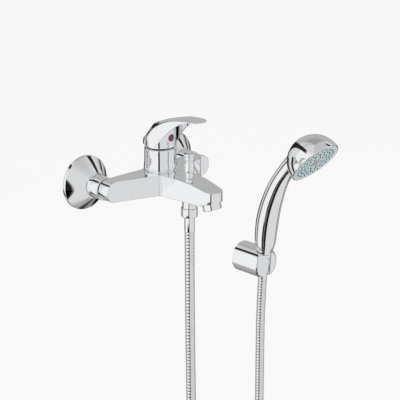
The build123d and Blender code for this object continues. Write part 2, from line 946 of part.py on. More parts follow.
def bracket_grub_screw():
    """Grub screw under the drum that locks it on the plate."""
    with BuildPart() as screw:
        with Locations((BRACKET_X, -6, BRACKET_Z - 17)):
            Cylinder(2, 4, align=(Align.CENTER, Align.CENTER, Align.MAX))
        with BuildSketch(Plane.XY.offset(BRACKET_Z - 22)):
            with Locations((BRACKET_X, -6)):
                RegularPolygon(1.1, 6)
        extrude(amount=3, mode=Mode.SUBTRACT)
    return screw.part


# ---------------------------------------------------------------- hand shower
# the handle's middle line as depth, height and radius, from the nut up to the head
HANDLE = [
    (42.25, -163.6, 10.4),
    (42.4, -161.6, 10.6),
    (42.7, -156.4, 12.4),
    (43.2, -150.0, 14.2),
    (44.3, -136.0, 15.3),
    (46.8, -116.0, 15.7),
    (51.8, -94.0, 15.0),
    (58.6, -74.0, 13.9),
    (67.0, -55.0, 12.4),
    (77.6, -37.5, 11.2),
    (89.0, -22.5, 11.0),
    (99.0, -11.0, 12.0),
]


def handle_loft(inset, first=0, last=None):
    """Loft along the handle's middle line through circles square to it."""
    stations = HANDLE[first:last]
    with BuildPart() as body:
        for index, (depth, height, radius) in enumerate(stations):
            before = stations[max(index - 1, 0)]
            after = stations[min(index + 1, len(stations) - 1)]
            rise = (0, before[0] - after[0], after[1] - before[1])
            with BuildSketch(
                Plane(origin=(BRACKET_X, -depth, height), x_dir=(1, 0, 0), z_dir=rise)
            ):
                Circle(radius - inset)
        loft()
    return body.part


def head_outline(inset=0.0, steps=9):
    """Half outline of the head's dome: a superellipse from the rim to the crown."""
    radius = HEAD_RADIUS - inset
    height = HEAD_HEIGHT - inset
    heights = [height * sin(radians(90 * i / steps)) for i in range(steps + 1)]
    return [
        (radius * (1 - (h / height) ** 2.18) ** (1 / 1.97) if h < height else 0, h)
        for h in heights
    ]


def head_dome(inset=0.0):
    """Solid dome, turned about the head's axis."""
    section = Plane(origin=HEAD.origin, x_dir=HEAD.x_dir, z_dir=-HEAD.y_dir)
    outline = head_outline(inset)
    with BuildPart() as dome:
        with BuildSketch(section):
            with BuildLine():
                Spline(*outline, tangents=((0, 1), (-1, 0)))
                Polyline((0, outline[-1][1]), (0, 0), outline[0])
            make_face()
        revolve(axis=Axis(HEAD.origin, HEAD.z_dir))
    return dome.part


def hand_shower_shell():
    """One chromed shell: handle and head dome, hollow."""
    with BuildPart() as shell:
        add(handle_loft(0))
        add(head_dome())
        add(handle_loft(2.0, 2), mode=Mode.SUBTRACT)
        add(head_dome(2.2), mode=Mode.SUBTRACT)
        add(
            turned([(0, -4), (7.9, -4), (7.9, 26), (0, 26)], CUP),
            mode=Mode.SUBTRACT,
        )
    return shell.part


def handle_nipple():
    """Threaded tail of the handle that the conical nut screws onto."""
    return turned(
        [(6.1, 4.2), (7.6, 4.2), (7.6, 15.2), (7.9, 15.2), (7.9, 24), (5, 24), (5, 15), (6.1, 15)],
        CUP,
    )


def conical_nut():
    """Conical nut that sits in the cup."""
    return turned(
        [
            (6.5, -12.9),
            (8.2, -12.9),
            (8.5, -12.4),
            (9.75, 14.2),
            (9.5, 14.8),
            (7.6, 14.8),
            (7.6, -4),
            (6.5, -4),
        ],
        CUP,
    )


def nut_washer():
    """Rubber washer between the hose tail and the handle."""
    return ring(CUP, 7.5, 6.05, 2.2, 4.2)


def water_tube():
    """Plastic tube that carries the water up the handle."""
    line = [(d, z) for d, z, _ in HANDLE[3:]]
    with BuildPart() as tube:
        with BuildLine():
            path = Spline(*[(BRACKET_X, -d, z) for d, z in line])
        with BuildSketch(Plane(origin=path @ 0, z_dir=path % 0)):
            Circle(6.4)
            Circle(5, mode=Mode.SUBTRACT)
        sweep()
    return tube.part


def face_ring():
    """Pale ring that holds the spray plate in the head."""
    return turned(
        [(31.6, -0.8), (35.4, -0.8), (36.6, 0), (34.3, 0), (34.3, 4.2), (31.6, 4.2)],
        HEAD,
    )


def spray_plate():
    """Spray plate with its nozzle holes."""
    with BuildPart() as plate:
        with BuildSketch(HEAD.offset(0)):
            Circle(31.6)
            for radius, count in NOZZLE_RINGS:
                with PolarLocations(radius, count):
                    Circle(1.2, mode=Mode.SUBTRACT)
            Circle(7.4, mode=Mode.SUBTRACT)
        extrude(amount=2)
    return plate.part


NOZZLE_RINGS = [(12.0, 8), (17.5, 14), (23.0, 20), (28.2, 24)]


def nozzle_mat():
    """Rubber mat whose nipples stand through the spray plate."""
    with BuildPart() as mat:
        with BuildSketch(HEAD.offset(2)):
            Circle(31.4)
            Circle(7.4, mode=Mode.SUBTRACT)
        extrude(amount=1.6)
        with BuildSketch(HEAD.offset(2)):
            for radius, count in NOZZLE_RINGS:
                with PolarLocations(radius, count):
                    Circle(1.15)
        extrude(amount=-3.2, taper=8)
    return mat.part


def centre_cap():
    """Cap over the screw in the middle of the spray plate."""
    return turned(
        [(0, -1.2), (5.6, -0.9), (7.0, -0.2), (7.4, 0.8), (7.4, 3.6), (0, 3.6)],
        HEAD,
    )


def spray_chamber():
    """Back wall of the water chamber behind the nozzle mat."""
    with BuildPart() as chamber:
        add(
            turned(
                [
                    (0, 9),
                    (30, 9),
                    (30, 3.6),
                    (31.4, 3.6),
                    (31.4, 11),
                    (8.5, 11),
                    (8.5, 15),
                    (0, 15),
                ],
                HEAD,
            )
        )
        with BuildSketch(HEAD.offset(8)):
            Circle(4.5)
        extrude(amount=8, mode=Mode.SUBTRACT)
    return chamber.part


# ---------------------------------------------------------------- writing
os.makedirs("parts", exist_ok=True)

for side, word in ((-1, "left"), (1, "right")):
    save(eccentric_union(side), f"eccentric_union_{word}")
    save(union_nut(side), f"union_nut_{word}")
    save(inlet_seal(side), f"inlet_seal_{word}")
    save(escutcheon(side), f"escutcheon_{word}")

PIECES = [
    mixer_body,
    outlet_nipple,
    check_valve,
    diverter_seat,
    diverter_bonnet,
    diverter_knob,
    diverter_stem,
    diverter_spring,
    aerator_housing,
    aerator_insert,
    aerator_seal,
    cartridge_housing,
    cartridge_seals,
    fixed_disc,
    moving_disc,
    cartridge_carrier,
    tilt_pin,
    lever_stem,
    cartridge_nut,
    cover,
    lever,
    lever_screw,
    indicator,
    hose,
    hose_nut,
    hose_washer,
    hose_ferrule,
    hose_end_ferrule,
    bracket_body,
    bracket_plate,
    bracket_grub_screw,
    hand_shower_shell,
    handle_nipple,
    conical_nut,
    nut_washer,
    water_tube,
    face_ring,
    spray_plate,
    nozzle_mat,
    centre_cap,
    spray_chamber,
]

for piece in PIECES:
    save(piece(), piece.__name__)
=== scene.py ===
"""Wall mounted bath faucet: lever mixer, flat spout, metal hose, hand shower and wall bracket.

Shapes are worked out in millimetres: X along the wall, depth d out of the wall at Y = -d, Z up.
put() turns them into metres.
"""

import json
from math import cos, pi, radians, sin

import bmesh
import bpy
import numpy as np
from mathutils import Matrix, Vector


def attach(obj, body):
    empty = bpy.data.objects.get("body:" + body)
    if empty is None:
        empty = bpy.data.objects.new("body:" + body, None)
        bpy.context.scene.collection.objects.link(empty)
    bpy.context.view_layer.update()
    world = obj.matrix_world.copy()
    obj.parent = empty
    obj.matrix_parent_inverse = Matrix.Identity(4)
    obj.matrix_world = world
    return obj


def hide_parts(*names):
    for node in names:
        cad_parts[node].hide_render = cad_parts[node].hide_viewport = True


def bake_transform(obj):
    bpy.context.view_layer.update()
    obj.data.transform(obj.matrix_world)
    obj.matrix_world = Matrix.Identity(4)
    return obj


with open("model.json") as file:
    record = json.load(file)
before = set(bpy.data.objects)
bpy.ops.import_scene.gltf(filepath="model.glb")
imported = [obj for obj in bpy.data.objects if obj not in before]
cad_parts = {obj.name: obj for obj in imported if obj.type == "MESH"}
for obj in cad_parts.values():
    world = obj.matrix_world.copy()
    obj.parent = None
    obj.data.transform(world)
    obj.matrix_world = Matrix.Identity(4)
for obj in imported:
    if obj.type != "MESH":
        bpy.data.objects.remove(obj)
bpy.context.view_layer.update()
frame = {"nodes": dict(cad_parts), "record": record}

TURN_DEPTH = 60.0
OUTLET_DEPTH = 110.8
BRACKET_X = 216.9
INLET_X = 75.0

UNION_DROP = 8.0
THREAD_PITCH = 1.814
PIPE_RELIEF_RADIUS = 9.18
PIPE_COLLAR_RADIUS = 11.68
TAIL_RADIUS = 13.2

ARM_RADIUS = 13.3
ARM_FACE = ([0, 20, 71, 89], [79.3, 79, 60, 58.7])
ARM_BACK = ([0, 18, 59, 90], [44, 44, 42, 42])
EDGE_RADIUS = 0.9
CORNER = 1.8

SPOUT_START = 64.0
SPOUT_TAPER = 76.0
SPOUT_HALF_WIDTH = 20.0
SPOUT_TIP_AT = 148.8
SPOUT_TIP_RADIUS = 13.2
SPOUT_BOTTOM = -13.4
SLANT_START = 140.0
OUTLET_TILT = radians(17)
AERATOR_AT = 147.8

SKIRT_RADIUS = 21.5
PADDLE_AT, PADDLE_HALF_WIDTH = 90.0, 15.0
TAPER_AT = 100.0
TIP_AT, TIP_RADIUS = 122.3, 12.7
LEVER_WALL = 1.8
LEVER_LIP = 0.3
LEVER_FULLNESS = 2.1
HUB_RADIUS, HUB_BORE, HUB_BOTTOM = 19.8, 18.0, 44.6
MARK_Z, MARK_RADIUS = 57.5, 4.9

GROOVE_RADIUS, RIB_HEIGHT, RIB_PITCH = 5.6, 0.7, 4.4
FLOOR_Z = -0.6785


# ------------------------------------------------------------------ surfaces
def put(name, grid, wrap=True, body="mixer", material=None, sharp=35.0, replaces=()):
    """Mesh of one grid, or of several in one piece. Rows run along, columns around; wrap closes
    the columns. Points that coincide are merged, which closes poles and seams."""
    grids = grid if isinstance(grid, list) else [grid]
    points, faces, base = [], [], 0
    for g in grids:
        rows, cols = g.shape[:2]
        last = cols if wrap else cols - 1
        i, j = np.meshgrid(np.arange(rows - 1), np.arange(last), indexing="ij")
        k = (j + 1) % cols
        quads = np.stack([i * cols + j, i * cols + k, (i + 1) * cols + k, (i + 1) * cols + j], -1)
        faces.append(quads.reshape(-1, 4) + base)
        points.append(g.reshape(-1, 3) * 0.001)
        base += rows * cols
    return solid(name, np.vstack(points), np.vstack(faces), body, material, sharp, replaces)


def solid(name, points, faces, body, material, sharp=35.0, replaces=()):
    """Mesh object from points in metres and faces, merged, turned outwards and shaded smooth."""
    mesh = bpy.data.meshes.new(name)
    mesh.from_pydata(points.tolist(), [], faces.tolist())
    work = bmesh.new()
    work.from_mesh(mesh)
    bmesh.ops.remove_doubles(work, verts=work.verts, dist=2e-6)
    bmesh.ops.dissolve_degenerate(work, edges=work.edges, dist=1e-7)
    bmesh.ops.recalc_face_normals(work, faces=work.faces)
    work.to_mesh(mesh)
    work.free()
    mesh.shade_smooth()
    mesh.set_sharp_from_angle(angle=radians(sharp))
    piece = bpy.data.objects.new(name, mesh)
    bpy.context.scene.collection.objects.link(piece)
    if material is not None:
        mesh.materials.append(material)
    if body is not None:
        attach(piece, body)
    if replaces:
        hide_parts(*replaces)
    return piece


def softened(outline, radii, steps=5, close=True):
    """Outline with each corner rounded: an arc tangent to both sides, as wide as the corner's
    radius or as the sides allow."""
    pts = np.asarray(outline, float)
    radii = np.broadcast_to(np.asarray(radii, float), (len(pts),))
    out = []
    for n, (p, r) in enumerate(zip(pts, radii)):
        if not close and n in (0, len(pts) - 1) or r <= 0:
            out.append(p[None])
            continue
        a, b = pts[n - 1] - p, pts[(n + 1) % len(pts)] - p
        la, lb = np.linalg.norm(a), np.linalg.norm(b)
        a, b = a / la, b / lb
        half = np.arccos(np.clip(a @ b, -1, 1)) / 2
        reach = min(r / np.tan(half), la * 0.48, lb * 0.48)
        r = reach * np.tan(half)
        middle = p + (a + b) / np.linalg.norm(a + b) * (r / np.sin(half))
        start, end = p + a * reach - middle, p + b * reach - middle
        sweep = pi - 2 * half
        t = np.linspace(0, 1, steps + 1)[:, None]
        arc = (np.sin((1 - t) * sweep) * start + np.sin(t * sweep) * end) / max(np.sin(sweep), 1e-9)
        out.append(middle + arc)
    return np.vstack(out)


def turned(outline, centre, axis=(0, 0, 1), around=96, close=True, radii=0.0):
    """Solid of revolution: (radius, height) pairs carried round an axis through centre, height
    measured along the axis. centre is in (X, depth, Z)."""
    prof = softened(outline, radii, close=close)
    if close:
        prof = np.vstack([prof, prof[:1]])
    axis = np.asarray(axis, float) / np.linalg.norm(axis)
    side = np.cross(axis, (0.0, 0.0, 1.0) if abs(axis[2]) < 0.9 else (1.0, 0.0, 0.0))
    side /= np.linalg.norm(side)
    other = np.cross(axis, side)
    t = np.linspace(0, 2 * pi, around, endpoint=False)
    rim = np.cos(t)[:, None] * side + np.sin(t)[:, None] * other
    base = np.array([centre[0], -centre[1], centre[2]], float)
    return base + prof[:, 0, None, None] * rim[None] + prof[:, 1, None, None] * axis


def slab(outline, spine, low, high, edge, rounds=5, spread=7):
    """Closed slab over a plan outline: rows run from the spine over the lower face, round the
    lower edge, up the side, round the upper edge and back over the upper face to the spine.
    low and high give the heights of both faces at a plan point; edge is the edges' radius."""
    step = np.roll(outline, -1, 0) - np.roll(outline, 1, 0)
    inward = np.stack([-step[:, 1], step[:, 0]], 1)
    inward /= np.linalg.norm(inward, axis=1)[:, None]
    following = np.roll(outline, -1, 0)
    area = np.sum(outline[:, 0] * following[:, 1] - following[:, 0] * outline[:, 1])
    inward *= 1 if area > 0 else -1
    rim = outline + inward * edge
    rows = []
    for t in np.linspace(0, 1, spread):
        p = spine + (rim - spine) * t
        rows.append(np.column_stack([p, low(p)]))
    for a in np.linspace(0, pi / 2, rounds + 1)[1:]:
        p = rim - inward * edge * sin(a)
        rows.append(np.column_stack([p, low(rim) + edge * (1 - cos(a))]))
    for a in np.linspace(pi / 2, 0, rounds + 1):
        p = rim - inward * edge * sin(a)
        rows.append(np.column_stack([p, high(rim) - edge * (1 - cos(a))]))
    for t in np.linspace(1, 0, spread)[1:]:
        p = spine + (rim - spine) * t
        rows.append(np.column_stack([p, high(p)]))
    return np.array(rows)


def along(points, near):
    """Arrays of the rows' frames along a path: tangent, a side vector near the given direction
    made square to the tangent, and their cross product."""
    t = np.gradient(points, axis=0)
    t /= np.linalg.norm(t, axis=1)[:, None]
    side = np.asarray(near, float) - t * (t @ np.asarray(near, float))[:, None]
    side /= np.linalg.norm(side, axis=1)[:, None]
    return t, side, np.cross(t, side)


def tube(points, radii, near, around=48):
    """Round tube: circles of the given radii square to a path."""
    _, side, other = along(points, near)
    a = np.linspace(0, 2 * pi, around, endpoint=False)
    ring = np.cos(a)[None, :, None] * side[:, None] + np.sin(a)[None, :, None] * other[:, None]
    return points[:, None] + ring * np.asarray(radii)[:, None, None]


def smooth_line(knots, x):
    """Smooth curve through knots: a cubic in each gap whose end slopes are the harmonic mean of
    the neighbouring gaps' slopes, or level where those turn back."""
    kx, ky = np.asarray(knots[0], float), np.asarray(knots[1], float)
    gap = np.diff(ky) / np.diff(kx)
    before, after = gap[:-1], gap[1:]
    both = np.where(np.abs(before + after) < 1e-9, 1e-9, before + after)
    inner = 2 * before * after / both * (before * after > 0)
    slope = np.concatenate([[gap[0]], inner, [gap[-1]]])
    n = np.clip(np.searchsorted(kx, x) - 1, 0, len(kx) - 2)
    w = kx[n + 1] - kx[n]
    t = np.clip((x - kx[n]) / w, 0, 1)
    return (
        ky[n] * (1 + 2 * t) * (1 - t) ** 2
        + slope[n] * w * t * (1 - t) ** 2
        + ky[n + 1] * t**2 * (3 - 2 * t)
        + slope[n + 1] * w * t**2 * (t - 1)
    )


# ------------------------------------------------------------------ finishes
class Value:
    """A socket, or a number, on which sums can be written; each sum adds its Math node."""

    def __init__(self, finish, socket):
        self.finish, self.socket = finish, socket

    def sum(self, operation, *others):
        values = dict(enumerate((self, *others)))
        return self.finish.node("ShaderNodeMath", {"operation": operation}, values)

    def __add__(self, other):
        return self.sum("ADD", other)

    __radd__ = __add__

    def __mul__(self, other):
        return self.sum("MULTIPLY", other)

    __rmul__ = __mul__

    def __sub__(self, other):
        return self.sum("SUBTRACT", other)

    def __rsub__(self, other):
        return self.finish.node("ShaderNodeMath", {"operation": "SUBTRACT"}, {0: other, 1: self})


class Finish:
    """One procedural material, or the room's light: the nodes that vary it over a surface."""

    def __init__(self, name, kind="materials"):
        self.material = getattr(bpy.data, kind).new(name)
        self.material.use_nodes = True
        self.tree = self.material.node_tree
        self.tree.nodes.clear()
        self.place = None

    def node(self, kind, settings=None, values=None, out=0):
        """Adds a node: its settings first, then the values or links of its sockets."""
        made = self.tree.nodes.new(kind)
        for key, value in (settings or {}).items():
            setattr(made, key, value)
        for key, value in (values or {}).items():
            socket = made.inputs[key]
            if isinstance(value, Value):
                self.tree.links.new(value.socket, socket)
            elif isinstance(value, tuple) and len(value) == 3 and socket.type == "RGBA":
                socket.default_value = (*value, 1)
            else:
                socket.default_value = value
        return Value(self, made.outputs[out])

    def coords(self):
        if self.place is None:
            self.place = self.node("ShaderNodeTexCoord", out="Object")
        return self.place

    def axis(self, name):
        return self.node("ShaderNodeSeparateXYZ", values={0: self.coords()}, out=name)

    def noise(self, scale, detail=4.0, stretch=(1, 1, 1)):
        place = self.node("ShaderNodeMapping", values={"Vector": self.coords(), "Scale": stretch})
        values = {"Vector": place, "Scale": scale, "Detail": detail}
        return self.node("ShaderNodeTexNoise", values=values)

    def between(self, amount, first, second):
        """Colour mix: first where amount is 0, second where it is 1."""
        values = {0: amount, 6: first, 7: second}
        return self.node("ShaderNodeMix", {"data_type": "RGBA"}, values, out=2)

    def bump(self, height, distance, strength=1.0):
        values = {"Strength": strength, "Distance": distance, "Height": height}
        return self.node("ShaderNodeBump", values=values)

    def done(self, **values):
        named = {key.replace("_", " "): value for key, value in values.items()}
        surface = self.node("ShaderNodeBsdfPrincipled", values=named)
        self.node_output(surface)
        return self.material

    def node_output(self, surface):
        made = self.tree.nodes.new("ShaderNodeOutputMaterial")
        self.tree.links.new(surface.socket, made.inputs["Surface"])


def chrome_plate():
    """Polished chrome: a cool mirror with faint cloudy wipe marks in its gloss."""
    f = Finish("polished chrome plate")
    wipe = f.noise(38.0, 5.0, (1, 1, 2.2))
    fine = f.noise(420.0, 2.0)
    tone = f.between(wipe, (0.86, 0.875, 0.89), (0.93, 0.935, 0.945))
    gloss = 0.015 + wipe * 0.03 + fine * 0.01
    return f.done(Base_Color=tone, Metallic=1.0, Roughness=gloss)


def hose_chrome():
    """Chromed strip of the hose: a little duller, with dust in the grooves' shade."""
    f = Finish("corrugated chromed strip")
    wipe = f.noise(60.0, 4.0)
    tone = f.between(wipe, (0.74, 0.75, 0.77), (0.88, 0.885, 0.895))
    return f.done(Base_Color=tone, Metallic=1.0, Roughness=0.05 + wipe * 0.05)


def machined(name, light, dark, rough):
    """Bare machined metal: fine turning lines and a slightly uneven tone."""
    f = Finish(name)
    cloud = f.noise(45.0, 5.0)
    lines = f.noise(900.0, 2.0, (0.15, 1, 1))
    tone = f.between(cloud, light, dark)
    normal = f.bump(lines, 0.00004, 0.5)
    return f.done(Base_Color=tone, Metallic=1.0, Roughness=rough + cloud * 0.12, Normal=normal)


def moulded(name, light, dark, rough, grain=0.00002):
    """Moulded plastic or ceramic: even tone with soft clouding and a fine satin grain."""
    f = Finish(name)
    cloud = f.noise(30.0, 4.0)
    skin = f.noise(1500.0, 2.0)
    tone = f.between(cloud, light, dark)
    normal = f.bump(skin, grain, 0.6)
    return f.done(Base_Color=tone, Roughness=rough + cloud * 0.08, Normal=normal)


def seal_rubber():
    """Black rubber: matt, with a dusty bloom."""
    f = Finish("black rubber")
    bloom = f.noise(90.0, 6.0)
    tone = f.between(bloom, (0.018, 0.018, 0.019), (0.06, 0.06, 0.062))
    normal = f.bump(bloom, 0.00005, 0.4)
    return f.done(Base_Color=tone, Roughness=0.55 + bloom * 0.25, Normal=normal)


def two_tone_mark():
    """Glossy temperature mark: wine red on the hot side, deep blue on the cold side."""
    f = Finish("red and blue enamel")
    half = f.node(
        "ShaderNodeMapRange",
        values={"Value": f.axis("X"), "From Min": -0.00012, "From Max": 0.00012},
    )
    cloud = f.noise(300.0, 3.0)
    tone = f.between(half, (0.17, 0.016, 0.034), (0.012, 0.018, 0.09))
    return f.done(Base_Color=tone, Roughness=0.14 + cloud * 0.08, Coat_Weight=0.6)


def nozzle_silicone():
    """Dark teal silicone of the spray nozzles, soft and slightly cloudy."""
    f = Finish("teal silicone")
    cloud = f.noise(160.0, 4.0)
    tone = f.between(cloud, (0.02, 0.085, 0.10), (0.045, 0.15, 0.165))
    return f.done(Base_Color=tone, Roughness=0.42 + cloud * 0.2)


FINISHES = {
    "chrome": chrome_plate(),
    "hose_metal": hose_chrome(),
    "brass": machined("machined brass", (0.78, 0.60, 0.30), (0.66, 0.47, 0.21), 0.24),
    "steel": machined("plain steel", (0.56, 0.57, 0.58), (0.44, 0.45, 0.46), 0.28),
    "seal_rubber": seal_rubber(),
    "white_plastic": moulded("white acetal", (0.84, 0.84, 0.82), (0.76, 0.76, 0.73), 0.34),
    "ceramic": moulded("lapped alumina", (0.88, 0.87, 0.84), (0.82, 0.81, 0.78), 0.14),
    "indicator": two_tone_mark(),
    "face_grey": moulded("pale grey plastic", (0.78, 0.79, 0.80), (0.71, 0.72, 0.73), 0.2),
    "spray_aqua": moulded("pale aqua plastic", (0.66, 0.79, 0.80), (0.60, 0.74, 0.76), 0.24),
    "nozzle_rubber": nozzle_silicone(),
    "cap_grey": moulded("rose grey plastic", (0.50, 0.41, 0.43), (0.42, 0.34, 0.36), 0.26),
}
for part in frame["record"]["subparts"]:
    node = frame["nodes"][part["node"]]
    node.data.materials.clear()
    node.data.materials.append(FINISHES[part["material_slot"]])
CHROME = FINISHES["chrome"]


# ------------------------------------------------------------------ inlets
def inlet(side, word):
    """One inlet: rosette with an upright rim and a cone, and the round union nut in its middle."""
    at, out = (side * INLET_X, 0, 0), (0, -1, 0)
    rosette = [
        (32.4, 0), (34.2, 0), (34.2, 4.6), (15.9, 22), (14.8, 22), (14.8, 19.4), (31.6, 3.2),
    ]
    grid = turned(rosette, at, out, 160, radii=[0, 0.35, 0.9, 0.5, 0.2, 0, 0])
    put(f"rosette_{word}", grid, material=CHROME, replaces=[f"escutcheon_{word}"])
    nut = [
        (13.25, 21), (14.8, 21), (14.8, 41), (11.3, 41), (11.3, 37.5), (13.25, 37.5),
    ]
    grid = turned(nut, at, out, 96, radii=[0, 0.3, 0.9, 0.2, 0, 0])
    put(f"round_nut_{word}", grid, material=CHROME, replaces=[f"union_nut_{word}"])


def pipe_union(side, word):
    """Offset union: threaded shank in the wall, set below the mixer's axis, an eccentric web, and
    the tail that the round nut turns on. The thread at height h and turn a has the phase
    f = h / pitch - a / 2 pi, less its whole turns, and the radius 10.48 - 1.2 |2 f - 1|. The web
    is the hull of the two circles it joins."""
    around, bore, low_axis = 64, 7.0, -UNION_DROP
    first, last = -19.0, -1.0
    h = np.linspace(first, last, 140)
    a = np.linspace(0, 2 * pi, around, endpoint=False)
    phase = (h[:, None] / THREAD_PITCH - a[None] / (2 * pi)) % 1.0
    crest = np.clip(np.minimum(h - first, last - h) / 1.2, 0, 1)[:, None]
    r = PIPE_RELIEF_RADIUS + crest * (1.3 - 1.2 * np.abs(2 * phase - 1))
    low = PIPE_COLLAR_RADIUS - UNION_DROP * np.sin(a) > TAIL_RADIUS
    web_radius = np.where(low, PIPE_COLLAR_RADIUS, TAIL_RADIUS)
    web_drop = np.where(low, low_axis, 0.0)
    x0 = side * INLET_X

    def ring(height, radius, drop):
        x, z = radius * np.cos(a), radius * np.sin(a)
        return np.stack([x0 + x, np.full(around, -height), drop + z], -1)

    grid = [ring(-20, bore, low_axis), ring(-20, 8.8, low_axis)]
    grid += [ring(level, radius, low_axis) for level, radius in zip(h, r)]
    grid += [ring(0.5, PIPE_RELIEF_RADIUS, low_axis), ring(0.5, web_radius, web_drop)]
    grid += [ring(12, web_radius, web_drop), ring(12, TAIL_RADIUS, 0), ring(31, TAIL_RADIUS, 0)]
    grid += [ring(31, 8, 0), ring(12, 8, 0), ring(6, bore, low_axis), ring(-20, bore, low_axis)]
    put(
        f"pipe_union_{word}",
        np.array(grid),
        material=FINISHES["brass"],
        sharp=50,
        replaces=[f"eccentric_union_{word}"],
    )


for side, word in ((-1, "left"), (1, "right")):
    inlet(side, word)
    pipe_union(side, word)


# ------------------------------------------------------------------ mixer body
def stadium(half_length, radius, straight, turn):
    """Stadium outline, anticlockwise, with its spine: straight sides joined by half circles."""
    x = np.linspace(half_length, -half_length, straight)
    fine = SPOUT_HALF_WIDTH + CORNER * (1 - np.cos(np.linspace(0, pi / 2, 8)))
    x = np.sort(np.concatenate([x, fine, -fine]))[::-1]
    a = np.linspace(-pi / 2, pi / 2, turn + 1)[1:-1]
    cap = np.column_stack([half_length + radius * np.cos(a), radius * np.sin(a)])
    top = np.column_stack([x, np.full(len(x), radius)])
    outline = np.vstack([top, -cap, -top, cap])
    spine = np.column_stack([np.clip(outline[:, 0], -half_length, half_length), 0 * outline[:, 0]])
    return outline, spine


def body_arms():
    """Both arms as one slab: a stadium in X and Z whose front face runs from depth 60 at the
    inlets out to depth 79 beside the spout, where a hollow corner of radius c leads over to it:
    the face gains c - sqrt(c^2 - u^2), u growing from 0 to c towards the spout's side."""
    outline, spine = stadium(INLET_X, ARM_RADIUS, 91, 28)

    def front(p):
        x = np.abs(p[:, 0])
        corner = np.clip(CORNER + SPOUT_HALF_WIDTH - x, 0, CORNER)
        return np.interp(x, *ARM_FACE) + CORNER - np.sqrt(CORNER**2 - corner**2)

    def back(p):
        return np.interp(np.abs(p[:, 0]), *ARM_BACK)

    g = slab(outline, spine, back, front, EDGE_RADIUS)
    return np.stack([g[..., 0], -g[..., 2], g[..., 1]], -1)


def spout_plan():
    """Plan of the spout in depth and X: sides that taper to a half round tip."""
    half, end = SPOUT_HALF_WIDTH, SPOUT_TIP_RADIUS
    d = np.linspace(SPOUT_START, SPOUT_TIP_AT, 52)
    w = np.interp(d, [SPOUT_START, SPOUT_TAPER, SPOUT_TIP_AT], [half, half, end])
    a = np.linspace(pi / 2, -pi / 2, 45)[1:-1]
    right = np.column_stack([d, w])
    tip = np.column_stack([SPOUT_TIP_AT + end * np.cos(a), end * np.sin(a)])
    left = np.column_stack([d[::-1], -w[::-1]])
    back = np.column_stack([np.full(7, SPOUT_START), np.linspace(-half, half, 9)[1:-1]])
    outline = np.vstack([right, tip, left, back])
    middle = np.clip(outline[:, 0], SPOUT_START, SPOUT_TIP_AT)
    spine = np.column_stack([middle, 0 * middle])
    return outline, spine


def body_spout():
    """Spout slab: level underside that rises at 17 degrees past depth 140, top that falls in
    one long curve towards the tip."""
    outline, spine = spout_plan()
    slope = np.tan(OUTLET_TILT)

    def top(p):
        d = p[:, 0]
        knots = [60, 75, 88, 100, 108, 116, 124, 132, 140, 147, 152, 157, 162]
        heights = [13.3, 13.45, 13.6, 13.6, 13.3, 12.7, 11.8, 10.5, 8.9, 7.4, 6.4, 5.8, 5.5]
        return smooth_line((knots, heights), d)

    def under(p):
        rise = p[:, 0] - SLANT_START
        return SPOUT_BOTTOM + slope * np.where(rise > 0, rise, 0)

    g = slab(outline, spine, under, top, EDGE_RADIUS)
    return np.stack([g[..., 1], -g[..., 0], g[..., 2]], -1)


def body_boss():
    """Cartridge boss: upright cylinder with a soft flare where it grows out of the arms."""
    outline = [
        (0.01, -12.6), (20.3, -12.6), (20.3, 0), (22, 12.8), (20.4, 13.7), (19.2, 15), (19.2, 18),
        (18.9, 18), (18.9, 11), (0.01, 11),
    ]
    radii = [0, 0, 2, 0.8, 0.6, 0.6, 0, 0, 0, 0]
    return turned(outline, (0, TURN_DEPTH, 0), around=128, radii=radii)


put(
    "mixer_casting",
    [body_arms(), body_spout(), body_boss()],
    material=CHROME,
    sharp=28,
    replaces=["mixer_body"],
)

cover_line = [
    (18.9, 18.1), (16.9, 13.9), (20.9, 13.9), (20.9, 18.6), (20.25, 22.5), (20, 28), (20, 41.2),
    (17.6, 42.8), (15.8, 42.8), (14.4, 41.4), (15, 40.6), (17.8, 39.8), (18.9, 36.8),
]
cover_radii = [0, 0, 3.4, 1, 3, 6, 1.5, 0.8, 0.3, 0, 0, 0, 0]
put(
    "cartridge_cover",
    turned(cover_line, (0, TURN_DEPTH, 0), around=128, radii=cover_radii),
    material=CHROME,
    replaces=["cover"],
)


# ------------------------------------------------------------------ diverter and outlet
at_outlet = (0, OUTLET_DEPTH, 0)
knob_line = [
    (0.01, 23), (5.1, 23), (5.1, 20.9), (6.2, 20.9), (6.2, 33.6), (5.5, 34.2), (5.5, 36.2),
    (6.2, 36.8), (6.2, 41.2), (7, 41.8), (7, 44.3), (4.5, 45.2), (0.01, 45.3),
]
knob_radii = [0, 0, 0, 0.3, 0.4, 0.3, 0.3, 0.4, 0.3, 0.4, 0.9, 1.5, 0]
put(
    "pull_knob",
    turned(knob_line, at_outlet, around=72, radii=knob_radii),
    body="diverter",
    material=CHROME,
    replaces=["diverter_knob"],
)
bonnet_line = [(1.9, 13), (5.6, 13), (5.6, 14), (4.8, 14.6), (4.8, 20.4), (1.9, 20.4)]
put(
    "knob_guide",
    turned(bonnet_line, at_outlet, around=64, radii=[0, 0, 0.3, 0.3, 0.4, 0]),
    material=CHROME,
    replaces=["diverter_bonnet"],
)
nipple_line = [(4, -25.4), (8.7, -25.4), (9.2, -24.9), (9.2, -13), (4, -13)]
put(
    "outlet_neck",
    turned(nipple_line, at_outlet, around=72, radii=[0, 0.3, 0.3, 0, 0]),
    material=CHROME,
    replaces=["outlet_nipple"],
)

